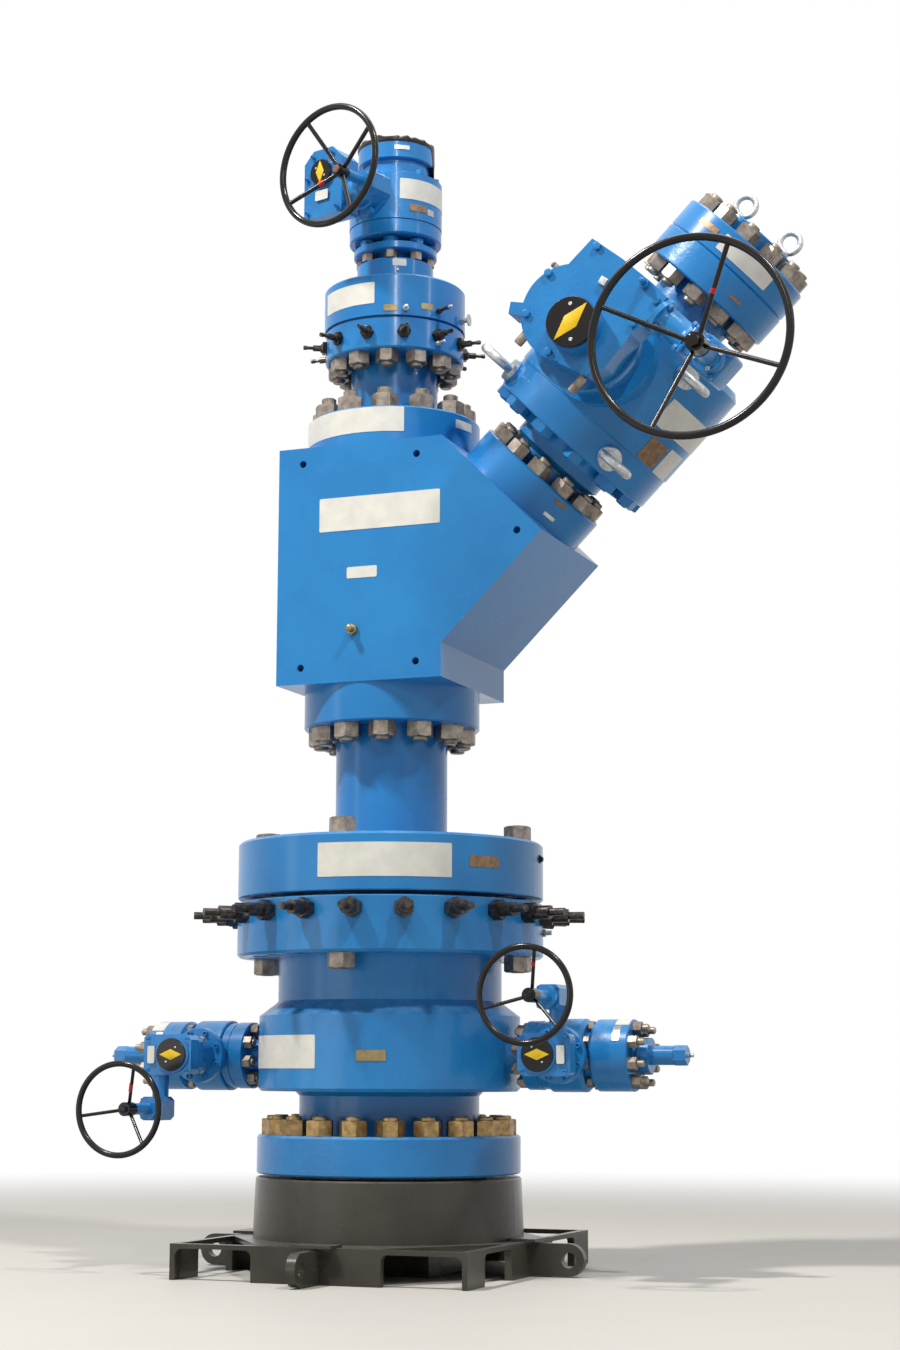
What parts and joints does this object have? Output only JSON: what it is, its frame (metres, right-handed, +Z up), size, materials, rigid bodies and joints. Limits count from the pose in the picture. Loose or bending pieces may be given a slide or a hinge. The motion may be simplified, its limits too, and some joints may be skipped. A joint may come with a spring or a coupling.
{
  "type": "gas wellhead valve stack",
  "caption": "Wellhead on a steel stand: casing head, spool, Y-block, top valve, slanted branch valve and two side valves with handwheels.",
  "frame": {"origin": "on the ground under the well axis, at the middle of the stand", "axes": "+Z up the well axis, -Y towards the operator and the valve stems, +X towards the slanted branch"},
  "size_m": [2.1525, 1.3139, 3.1446],
  "materials": {
    "blue_paint": "gloss",
    "stand_paint": "gloss",
    "wheel_paint": "gloss",
    "indicator_plate": "satin",
    "screw_steel": "satin",
    "galvanised_steel": "satin",
    "cover_rubber": "matte"
  },
  "bodies": {
    "stack": {"casing_head": "blue_paint", "tubing_spool": "blue_paint", "y_block": "blue_paint", "top_spool": "blue_paint", "hanger_flange": "blue_paint", "top_valve_end": "blue_paint", "top_valve_body": "blue_paint", "top_cap_flange": "blue_paint", "top_bonnet": "blue_paint", "top_gearbox": "blue_paint", "top_input_housing": "blue_paint", "branch_end_flange": "blue_paint", "branch_valve_body": "blue_paint", "branch_blind_flange": "blue_paint", "branch_bonnet": "blue_paint", "branch_gearbox": "blue_paint", "branch_bevel_box": "blue_paint", "left_valve_end": "blue_paint", "left_valve_body": "blue_paint", "left_blind_flange": "blue_paint", "left_gearbox": "blue_paint", "left_bevel_box": "blue_paint", "right_valve_end": "blue_paint", "right_valve_body": "blue_paint", "right_blind_flange": "blue_paint", "right_gearbox": "blue_paint", "right_bevel_box": "blue_paint", "base_deck": "stand_paint", "end_rails": "stand_paint", "side_rails": "stand_paint", "lashing_lugs": "stand_paint", "base_pedestal": "stand_paint", "lower_lock_screws": "screw_steel", "upper_lock_screws": "screw_steel", "top_cap_cover": "cover_rubber", "lifting_eyes": "galvanised_steel"},
    "top_wheel": {"top_handwheel": "wheel_paint"},
    "top_pointer": {"top_indicator": "indicator_plate"},
    "branch_wheel": {"branch_handwheel": "wheel_paint"},
    "branch_pointer": {"branch_indicator": "indicator_plate"},
    "left_wheel": {"left_handwheel": "wheel_paint"},
    "left_pointer": {"left_indicator": "indicator_plate"},
    "right_wheel": {"right_handwheel": "wheel_paint"},
    "right_pointer": {"right_indicator": "indicator_plate"}
  },
  "joints": [
    {"name": "top_wheel_turn", "type": "hinge", "parent": "stack", "child": "top_wheel", "pos_m": [0.02554, -0.44425, 2.90738], "axis": [0.2756, 0.9613, 0], "range_deg": [0, 3600]},
    {"name": "top_pointer_turn", "type": "hinge", "parent": "stack", "child": "top_pointer", "pos_m": [-0.09013, -0.31433, 2.96738], "axis": [0.2756, 0.9613, 0], "range_deg": [0, 90]},
    {"name": "branch_wheel_turn", "type": "hinge", "parent": "stack", "child": "branch_wheel", "pos_m": [1.05055, -0.62, 2.26113], "axis": [0, 1, 0], "range_deg": [0, 5400]},
    {"name": "branch_pointer_turn", "type": "hinge", "parent": "stack", "child": "branch_pointer", "pos_m": [0.69912, -0.519, 2.38488], "axis": [0, 1, 0], "range_deg": [0, 90]},
    {"name": "left_wheel_turn", "type": "hinge", "parent": "stack", "child": "left_wheel", "pos_m": [-0.562, -0.424, 0.424], "axis": [0, 1, 0], "range_deg": [0, 3600]},
    {"name": "left_pointer_turn", "type": "hinge", "parent": "stack", "child": "left_pointer", "pos_m": [-0.517, -0.275, 0.566], "axis": [0, 1, 0], "range_deg": [0, 90]},
    {"name": "right_wheel_turn", "type": "hinge", "parent": "stack", "child": "right_wheel", "pos_m": [0.562, -0.448, 0.708], "axis": [0, 1, 0], "range_deg": [0, 3600]},
    {"name": "right_pointer_turn", "type": "hinge", "parent": "stack", "child": "right_pointer", "pos_m": [0.517, -0.275, 0.566], "axis": [0, 1, 0], "range_deg": [0, 90]}
  ],
  "couplings": [
    {"joint": "top_pointer_turn", "follows": "top_wheel_turn", "ratio": 0.025},
    {"joint": "branch_pointer_turn", "follows": "branch_wheel_turn", "ratio": 0.016667},
    {"joint": "left_pointer_turn", "follows": "left_wheel_turn", "ratio": 0.025},
    {"joint": "right_pointer_turn", "follows": "right_wheel_turn", "ratio": 0.025}
  ]
}
